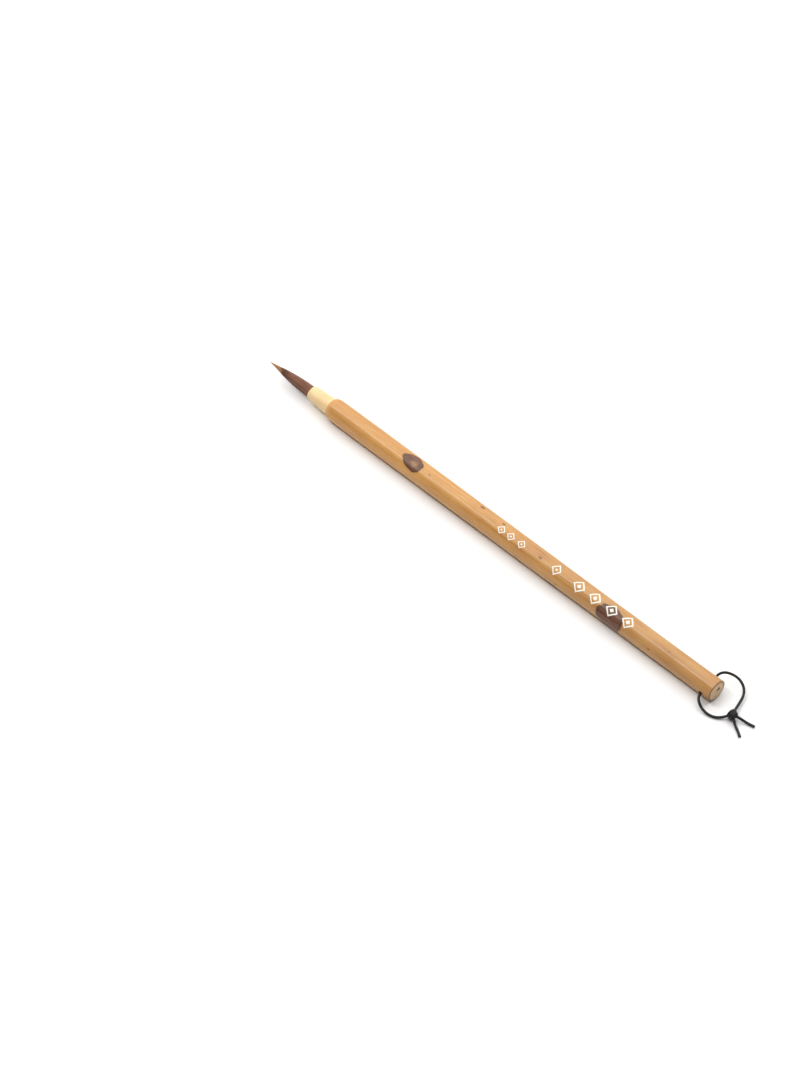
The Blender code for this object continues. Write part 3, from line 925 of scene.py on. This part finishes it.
def strands(name, mat, count, seed, ends, depth, thick, root_d, stray, sides=4, steps=20):
    """Hairs as thin tapered tubes. ends(a, rng) gives where a hair at angle a ends, in mm from the
    tip; depth(rng) how deep it lies, 1 on the outside; thick its half-width."""
    rng = np.random.default_rng(seed)
    verts, faces, along, ids = [], [], [], []
    golden = math.pi * (3 - math.sqrt(5))
    start = 0
    for k in range(count):
        a0 = k * golden + rng.normal(0, 0.05)
        end = ends(a0, rng)
        level = depth(rng, k / count)
        mouth = TUFT_OUT - 0.3
        if root_d > mouth:
            d = np.concatenate(
                [mouth + (root_d - mouth) * np.array([1.0, 0.93, 0.72, 0.66, 0.35, 0.06]),
                 mouth + (end - mouth) * np.linspace(0, 1, steps - 6) ** 0.9]
            )
        else:
            d = root_d + (end - root_d) * np.linspace(0, 1, steps) ** 0.85
        t = np.clip((root_d - d) / (root_d - end), 0, 1)
        radius = bundle_radius(d) * level
        half = thick * rng.uniform(0.75, 1.25) * np.clip((1 - t) / 0.22, 0.10, 1.0) ** 0.8
        radius = np.maximum(radius - half, 0.0)
        loose = abs(rng.normal(0, stray)) * np.clip((t - 0.35) / 0.65, 0, 1) ** 1.5
        radius = radius + loose * np.clip(bundle_radius(d) / 0.8, 0, 1)
        a = a0 + rng.normal(0, 0.045) * np.sin(t * math.pi * rng.uniform(0.6, 1.5)) + rng.normal(0, 0.03) * t
        x = TIP_X + d
        centre = np.stack([x, radius * np.cos(a), AXIS_Z + radius * np.sin(a)], 1)
        tangent = np.gradient(centre, axis=0)
        tangent /= np.linalg.norm(tangent, axis=1)[:, None]
        out = np.stack([np.zeros(steps), np.cos(a), np.sin(a)], 1)
        side = np.cross(tangent, out)
        side /= np.linalg.norm(side, axis=1)[:, None]
        out = np.cross(side, tangent)
        for s in range(sides):
            b = 2 * math.pi * (s + 0.5) / sides
            verts.append(centre + (out * math.cos(b) + side * math.sin(b)) * half[:, None])
        base = start + np.arange(sides)[:, None] * steps + np.arange(steps)[None, :]
        for s in range(sides):
            p, q = base[s], base[(s + 1) % sides]
            faces.append(np.stack([p[:-1], p[1:], q[1:], q[:-1]], 1))
        for cap in (0, steps - 1):
            ring = base[:, cap]
            faces.append(np.array([[ring[0], ring[1], ring[2], ring[3]]]) if cap == 0
                         else np.array([[ring[3], ring[2], ring[1], ring[0]]]))
        along += [t] * sides
        ids.append(np.full(sides * steps, rng.uniform(0, 1)))
        start += sides * steps
    mesh = mesh_from(name, np.concatenate(verts) * MM, np.concatenate(faces))
    attribute = mesh.attributes.new("hair_along", "FLOAT", "POINT")
    attribute.data.foreach_set("value", np.concatenate(along).astype(np.float32))
    attribute = mesh.attributes.new("hair_id", "FLOAT", "POINT")
    attribute.data.foreach_set("value", np.concatenate(ids).astype(np.float32))
    outward(mesh)
    mesh.shade_smooth()
    return new_object(name, mesh, mat)


def packed(name, mat, profile, tone, around=48):
    """Packed hair under the outer strands, turned from (mm from the tip, radius) stations round a
    closed outline, or open at a pole where the first radius is 0."""
    angles = 2 * np.pi * np.arange(around) / around
    ripple = 1 + 0.014 * np.cos(13 * angles) + 0.010 * np.cos(21 * angles + 1)
    closed = profile[0][1] > 0
    stations = profile if closed else profile[1:]
    verts = [
        np.stack([np.full(around, TIP_X + d), r * ripple * np.cos(angles),
                  AXIS_Z + r * ripple * np.sin(angles)], 1)
        for d, r in stations
    ]
    grid = np.arange(len(stations) * around).reshape(len(stations), around)
    faces = []
    pairs = list(range(len(stations) - 1)) + ([len(stations) - 1] if closed else [])
    for i in pairs:
        p, q = grid[i], grid[(i + 1) % len(stations)]
        for j in range(around):
            k = (j + 1) % around
            faces.append([int(p[j]), int(p[k]), int(q[k]), int(q[j])])
    points = np.concatenate(verts)
    if not closed:
        pole = len(points)
        points = np.vstack([points, [[TIP_X + profile[0][0], 0.0, AXIS_Z]]])
        faces += [[pole, int(grid[0][(j + 1) % around]), int(grid[0][j])] for j in range(around)]
        faces.append([int(v) for v in grid[-1]])
    mesh = mesh_from(name, points * MM, faces)
    d = points[:, 0] - TIP_X
    attribute = mesh.attributes.new("hair_along", "FLOAT", "POINT")
    attribute.data.foreach_set(
        "value", np.clip((TUFT_OUT + 8.4 - d) / (TUFT_OUT + 8.4 - d.min()), 0, 1).astype(np.float32)
    )
    attribute = mesh.attributes.new("hair_id", "FLOAT", "POINT")
    attribute.data.foreach_set("value", np.full(len(points), tone, np.float32))
    outward(mesh)
    mesh.shade_smooth()
    return new_object(name, mesh, mat)


# ----------------------------------------------------------------------- cord
def frames_along(points):
    tangent = np.gradient(points, axis=0)
    tangent /= np.linalg.norm(tangent, axis=1)[:, None]
    normal = np.cross(tangent[0], [0.0, 0.0, 1.0])
    if np.linalg.norm(normal) < 0.1:
        normal = np.cross(tangent[0], [0.0, 1.0, 0.0])
    normal /= np.linalg.norm(normal)
    normals = [normal]
    for t in tangent[1:]:
        normal = normals[-1] - t * (normals[-1] @ t)
        normals.append(normal / np.linalg.norm(normal))
    normals = np.array(normals)
    return tangent, normals, np.cross(tangent, normals)


def braided(name, route, mat, radius=CORD_R, step=0.00009, around=32, fray=(False, False)):
    """A round eight-strand braid along the route: four strands wind each way, over and under."""
    _, length = natural_spline(route, 4)
    count = max(8, int(length / step))
    points, length = natural_spline(route, count)
    tangent, normal, binormal = frames_along(points)
    s = np.linspace(0, length, count)[:, None]
    theta = 2 * np.pi * np.arange(around)[None, :] / around
    turn = 2 * np.pi / 0.0034
    left, right = 4 * theta + 4 * turn * s, 4 * theta - 4 * turn * s
    parity = np.cos(left / 2) * np.cos(right / 2)
    ridge_l = (0.5 + 0.5 * np.cos(left)) ** 0.55
    ridge_r = (0.5 + 0.5 * np.cos(right)) ** 0.55
    height = np.maximum(ridge_l * (0.78 + 0.22 * parity), ridge_r * (0.78 - 0.22 * parity))
    r = radius * (0.875 + 0.135 * height)
    for is_frayed, away in ((fray[0], s), (fray[1], length - s)):
        if is_frayed:
            r = r * (1 + 0.13 * np.exp(-away / 0.00035))
            r = r * (1 + 0.05 * np.exp(-away / 0.0002) * np.cos(5 * theta + 1.0))
    rings = (
        points[:, None, :]
        + (normal[:, None, :] * np.cos(theta)[..., None] + binormal[:, None, :] * np.sin(theta)[..., None])
        * r[..., None]
    )
    verts = list(map(tuple, rings.reshape(-1, 3)))
    grid = np.arange(count * around).reshape(count, around)
    faces = [
        np.stack([grid[i], np.roll(grid[i], -1), np.roll(grid[i + 1], -1), grid[i + 1]], 1)
        for i in range(count - 1)
    ]
    faces = [tuple(map(int, f)) for f in np.concatenate(faces)]
    for end, ring, sign, cut in ((0, grid[0], -1, fray[0]), (count - 1, grid[-1], 1, fray[1])):
        # a cut end shows its strands as a rough face; a tucked one is domed
        inner = []
        for j in range(around):
            p = points[end] + (np.array(verts[int(ring[j])]) - points[end]) * 0.55
            lift = (0.00006 + 0.00004 * math.cos(8 * 2 * math.pi * j / around)) if cut else 0.00018
            inner.append(len(verts))
            verts.append(tuple(p + tangent[end] * sign * lift))
        hub = len(verts)
        verts.append(tuple(points[end] + tangent[end] * sign * (0.00003 if cut else 0.00025)))
        for j in range(around):
            k = (j + 1) % around
            faces.append((int(ring[k]), int(ring[j]), inner[j], inner[k]))
            faces.append((inner[k], inner[j], hub))
    mesh = mesh_from(name, np.array(verts), faces)
    outward(mesh)
    smooth(mesh, 60)
    return new_object(name, mesh, mat), points, length


def knot_frame():
    """The knot's own axis, from the loop to the tails, and two directions across it."""
    axis = np.array([0.975, -0.215, 0.030])
    axis /= np.linalg.norm(axis)
    up = np.array([0.0, 0.0, 1.0]) - axis * axis[2]
    up /= np.linalg.norm(up)
    return axis, up, np.cross(axis, up)


def knot_route(turns, first_angle, length, radius, tuck, lean):
    """Snug turns round the legs, their ends tucked under."""
    axis, up, side = knot_frame()
    points = []
    count = 48
    for i in range(count + 1):
        part = i / count
        a = math.radians(first_angle) + 2 * math.pi * turns * part
        ends = min(part, 1 - part)
        bulge = math.sin(math.pi * part) ** 0.7 * 0.10
        r = radius + bulge - tuck * max(0.0, 1 - ends / 0.09)
        shift = length * (part - 0.5) + lean * math.cos(a - 0.4)
        points.append(
            KNOT_C + axis * shift * MM + (side * math.cos(a) + up * math.sin(a)) * r * MM
        )
    return points


def over_route(first_angle, last_angle, reach, low, high):
    """One strand crossing over the turns, end to end of the knot."""
    axis, up, side = knot_frame()
    points = []
    for i in range(13):
        part = i / 12
        a = math.radians(first_angle + (last_angle - first_angle) * part)
        r = low + (high - low) * math.sin(math.pi * part) ** 0.7
        shift = reach * (2 * part - 1)
        points.append(
            KNOT_C + axis * shift * MM + (side * math.cos(a) + up * math.sin(a)) * r * MM
        )
    return points


# ---------------------------------------------------------------------- marks
def skin_point(x, a, lift):
    r = float(handle_radius(np.array([x]), np.array([a]))[0]) + lift
    return ((FRONT_X + x) * MM, r * math.cos(a) * MM, (AXIS_Z + r * math.sin(a)) * MM)


def make_marks(mat):
    """Plain lozenges and dots in white pigment, where the real brush is lettered."""
    bm = bmesh.new()
    middle = math.radians(108.5)
    random.seed(5)

    def put(x, arc, lift):
        r = float(curve_through(HANDLE_SHAPE, np.array([x]))[0])
        return bm.verts.new(skin_point(x, middle + arc / r, lift))

    def ribbon(centre, points, width, closed=True):
        """A stroke along flat (x, arc) points, following the skin."""
        count = len(points)
        rows = []
        for i in range(count):
            p = np.array(points[i])
            if closed:
                before, after = np.array(points[i - 1]), np.array(points[(i + 1) % count])
            else:
                before, after = np.array(points[max(0, i - 1)]), np.array(points[min(count - 1, i + 1)])
            d1 = (p - before) / max(1e-9, np.linalg.norm(p - before))
            d2 = (after - p) / max(1e-9, np.linalg.norm(after - p))
            d = d1 + d2
            d = d / max(1e-9, np.linalg.norm(d))
            nrm = np.array([-d[1], d[0]])
            half = width / 2 * (1 + 0.10 * random.uniform(-1, 1))
            stretch = 1 / max(0.6, abs(nrm @ np.array([-d1[1], d1[0]])))
            row = []
            for off, lift in ((-1, -0.05), (-1, 0.012), (-0.55, 0.030), (0.55, 0.030), (1, 0.012), (1, -0.05)):
                q = p + nrm * off * half * stretch
                row.append(put(centre[0] + q[0], centre[1] + q[1], lift))
            rows.append(row)
        last = count if closed else count - 1
        for i in range(last):
            a, b = rows[i], rows[(i + 1) % count]
            for k in range(6):
                m = (k + 1) % 6
                bm.faces.new((a[k], a[m], b[m], b[k]))
        if not closed:
            bm.faces.new(rows[0])
            bm.faces.new(rows[-1])

    def lozenge(x, half_x, half_arc, width, arc=0.0):
        corners = [(half_x, 0), (0, half_arc), (-half_x, 0), (0, -half_arc)]
        points = []
        for i in range(4):
            a, b = np.array(corners[i]), np.array(corners[(i + 1) % 4])
            for t in np.linspace(0, 1, 9)[:-1]:
                points.append(tuple(a + (b - a) * t))
        ribbon((x, arc), points, width)

    def dot(x, arc, size, size_arc=None):
        ring, lows = [], []
        size_arc = size_arc or size
        for i in range(20):
            t = 2 * math.pi * i / 20
            ring.append(put(x + size * math.cos(t), arc + size_arc * math.sin(t), 0.012))
            lows.append(put(x + size * math.cos(t), arc + size_arc * math.sin(t), -0.05))
        top = [put(x + 0.6 * size * math.cos(2 * math.pi * i / 20),
                   arc + 0.6 * size_arc * math.sin(2 * math.pi * i / 20), 0.032) for i in range(20)]
        for i in range(20):
            j = (i + 1) % 20
            bm.faces.new((ring[i], ring[j], top[j], top[i]))
            bm.faces.new((lows[j], lows[i], ring[i], ring[j]))
        bm.faces.new(top)
        bm.faces.new(lows[::-1])

    def kite(x, arc, half_x, half_arc):
        """A small filled lozenge."""
        flat = []
        corners = [(half_x, 0), (0, half_arc), (-half_x, 0), (0, -half_arc)]
        for i in range(4):
            a, b = np.array(corners[i]), np.array(corners[(i + 1) % 4])
            flat += [tuple(a + (b - a) * t) for t in (0.0, 0.25, 0.5, 0.75)]
        ring = [put(x + u, arc + v, 0.012) for u, v in flat]
        lows = [put(x + u, arc + v, -0.05) for u, v in flat]
        top = [put(x + 0.8 * u, arc + 0.8 * v, 0.032) for u, v in flat]
        for i in range(16):
            j = (i + 1) % 16
            bm.faces.new((ring[i], ring[j], top[j], top[i]))
            bm.faces.new((lows[j], lows[i], ring[i], ring[j]))
        bm.faces.new(top)
        bm.faces.new(lows[::-1])

    for x in (122.5, 130.0, 137.7, 145.2):
        lozenge(x, 2.30, 2.25, 0.50)
        kite(x, 0.0, 0.88, 0.86)
    lozenge(111.8, 1.80, 2.05, 0.42)
    dot(111.8, 0.0, 0.40)
    for x in (85.6, 90.1, 95.2):
        lozenge(x, 1.55, 1.50, 0.34, 0.15)
        dot(x, 0.15, 0.34)
    bmesh.ops.recalc_face_normals(bm, faces=bm.faces[:])
    mesh = bpy.data.meshes.new("white_marks")
    bm.to_mesh(mesh)
    bm.free()
    smooth(mesh, 50)
    return new_object("white_marks", mesh, mat)


# ---------------------------------------------------------------------- stage
def make_stage():
    n = Nodes("studio_floor")
    dust = n.noise(n.millimetres((0.02, 0.02, 0.02)), 1.0, 2.0, 0.5)
    colour = n.ramp(dust, [(0.3, (0.88, 0.88, 0.89)), (0.7, (0.91, 0.91, 0.91))])
    mat = n.principled(color=colour, rough=0.9, specular=0.1)
    mesh = bpy.data.meshes.new("floor")
    size = 4.0
    mesh.from_pydata(
        [(-size, -size, 0), (size, -size, 0), (size, size, 0), (-size, size, 0)],
        [], [(0, 1, 2, 3)],
    )
    floor = new_object("floor", mesh, mat)

    world = bpy.data.worlds.new("studio")
    scene.world = world
    world.use_nodes = True
    background = world.node_tree.nodes.get("Background") or world.node_tree.nodes.new(
        "ShaderNodeBackground"
    )
    background.inputs[0].default_value = (0.97, 0.98, 1.0, 1.0)
    background.inputs[1].default_value = 0.20

    def area(name, place, target, size, size_y, power, colour=(1, 1, 1)):
        """Area light whose first side lies along X."""
        data = bpy.data.lights.new(name, "AREA")
        data.shape, data.size, data.size_y = "RECTANGLE", size, size_y
        data.energy, data.color = power, colour
        light = bpy.data.objects.new(name, data)
        ahead = (Vector(target) - Vector(place)).normalized()
        across = Vector((1, 0, 0))
        across = (across - ahead * across.dot(ahead)).normalized()
        upward = (-ahead).cross(across)
        light.matrix_world = Matrix.Translation(place) @ Matrix(
            (across, upward, -ahead)
        ).transposed().to_4x4()
        light.visible_camera = False
        scene.collection.objects.link(light)
        return light

    # One large softbox from behind, over the top; its edge draws the line along the culm.
    area("softbox", (-0.35, 0.56, 1.30), (0, 0, 0), 2.2, 2.8, 43.0, (1.0, 0.99, 0.97))
    area("edge_strip", (-0.62, -0.56, 1.50), (0, 0, 0), 1.3, 0.15, 9.5, (1.0, 0.98, 0.95))
    scene.view_settings.view_transform = "Standard"
    scene.view_settings.look = "None"


# ----------------------------------------------------------------------- make
make_camera()

# cord first
waxed = cord_material()
routes_in = np.array(LOOP_ROUTE)
start_in = KNOT_C + (routes_in[0] - KNOT_C) * 0.42
end_in = KNOT_C + (routes_in[-1] - KNOT_C) * 0.42
loop_path = [tuple(start_in), *LOOP_ROUTE, tuple(end_in)]
loop, loop_points, loop_length = braided("cord_loop_braid", loop_path, waxed)
tail_a, _, _ = braided(
    "cord_tail_a_braid",
    [tuple(KNOT_C + (np.array(TAIL_A_ROUTE[0]) - KNOT_C) * 0.35), *TAIL_A_ROUTE],
    waxed, fray=(False, True),
)
tail_b, _, _ = braided(
    "cord_tail_b_braid",
    [tuple(KNOT_C + (np.array(TAIL_B_ROUTE[0]) - KNOT_C) * 0.35), *TAIL_B_ROUTE],
    waxed, fray=(False, True),
)
knot, _, _ = braided(
    "cord_knot_turns", knot_route(3.1, 200, 2.55, 1.28, 0.75, 0.26), waxed, radius=0.00051
)
over, _, _ = braided(
    "cord_knot_over", over_route(205, 60, 1.62, 0.62, 1.72), waxed, radius=0.00048
)
for piece, nodes in (
    (loop, ["cord_loop"]),
    (knot, ["cord_knot"]),
    (over, []),
    (tail_a, ["cord_tail_a"]),
    (tail_b, ["cord_tail_b"]),
):
    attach(piece, "hanging_cord")
    if nodes:
        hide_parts(*nodes)

# handle
handle = make_handle(bamboo_skin(), bamboo_sawn())
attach(handle, "handle")
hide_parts("handle")

ferrule = make_ferrule(peeled_bamboo())
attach(ferrule, "handle")
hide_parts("ferrule")

marks = make_marks(pigment())
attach(marks, "handle")

# hair
cover = hair_material(
    "cover_hair", srgb(150, 102, 76), srgb(116, 78, 62), srgb(66, 42, 34), srgb(178, 130, 98)
)
point = hair_material(
    "point_hair", srgb(100, 66, 44), srgb(166, 116, 74), srgb(194, 150, 112), srgb(216, 176, 134)
)


def cover_end(a, rng):
    """The cover hairs stop in a slanting line, short of the point."""
    return 8.3 + 0.9 * math.cos(a - math.radians(215)) + rng.normal(0, 0.8)


def point_end(a, rng):
    return min(8.0, abs(rng.normal(0.0, 1.0)) ** 1.3 * 1.7)


ROOT_D = TUFT_OUT + 8.4
sheath = [(9.3, 1.02)]
for d in np.concatenate([np.linspace(9.7, 14.0, 10), np.linspace(14.6, TUFT_OUT + 0.4, 14)]):
    sheath.append((d, max(1.04, float(bundle_radius(np.array([d]))[0]) * 0.91)))
sheath += [(TUFT_OUT + 5.5, 2.05), (TUFT_OUT + 6.1, 1.74), (TUFT_OUT + 7.9, 1.74),
           (TUFT_OUT + 8.2, 1.96), (ROOT_D, 1.96), (ROOT_D, 1.55), (TUFT_OUT + 2.3, 1.55),
           (TUFT_OUT + 1.6, 1.0), (14.2, 1.0)]
cover_body = packed("cover_hair_body", cover, sheath, 0.35)
cover_hairs = strands(
    "cover_hairs", cover, 820, 11, cover_end, lambda rng, k: rng.uniform(0.91, 1.0), 0.056,
    ROOT_D, 0.035, steps=22,
)
middle = [(0.25, 0.0)]
for d in np.concatenate([np.linspace(0.5, 4.0, 8), np.linspace(4.6, 12.0, 10)]):
    middle.append((d, min(0.93, float(bundle_radius(np.array([d]))[0]) * 0.72)))
middle += [(16.0, 0.93), (TUFT_OUT, 0.93), (ROOT_D, 0.93)]
point_body = packed("point_hair_body", point, middle, 0.5, around=32)
point_hairs = strands(
    "point_hairs", point, 460, 23, point_end, lambda rng, k: math.sqrt(rng.uniform(0.45, 1.0)) * 0.98,
    0.046, 15.0, 0.012,
)
for piece, node, slot in (
    (cover_hairs, "hair_mantle", "cover_hair"),
    (cover_body, None, "cover_hair"),
    (point_hairs, "hair_core", "core_hair"),
    (point_body, None, "core_hair"),
):
    if node:
        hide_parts(node)
    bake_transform(piece)

# pieces inside, carried over from the frame
for node, mat in (
    ("ferrule_bond", hidden("ferrule_glue", srgb(176, 142, 92), srgb(204, 172, 120), 0.35)),
    ("tuft_bond", hidden("tuft_glue", srgb(170, 136, 88), srgb(200, 168, 118), 0.35)),
    ("hair_collar", hidden("padding_hair", srgb(96, 68, 44), srgb(160, 122, 84), 0.6, (0.3, 9.0, 9.0))),
    ("root_thread", hidden("binding_thread", srgb(212, 206, 190), srgb(240, 236, 224), 0.7, (8.0, 8.0, 8.0))),
    ("root_seal", hidden("rosin", srgb(120, 66, 24), srgb(176, 106, 46), 0.2, (1.5, 1.5, 1.5))),
):
    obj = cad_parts[node]
    obj.data.materials.clear()
    obj.data.materials.append(mat)

make_stage()
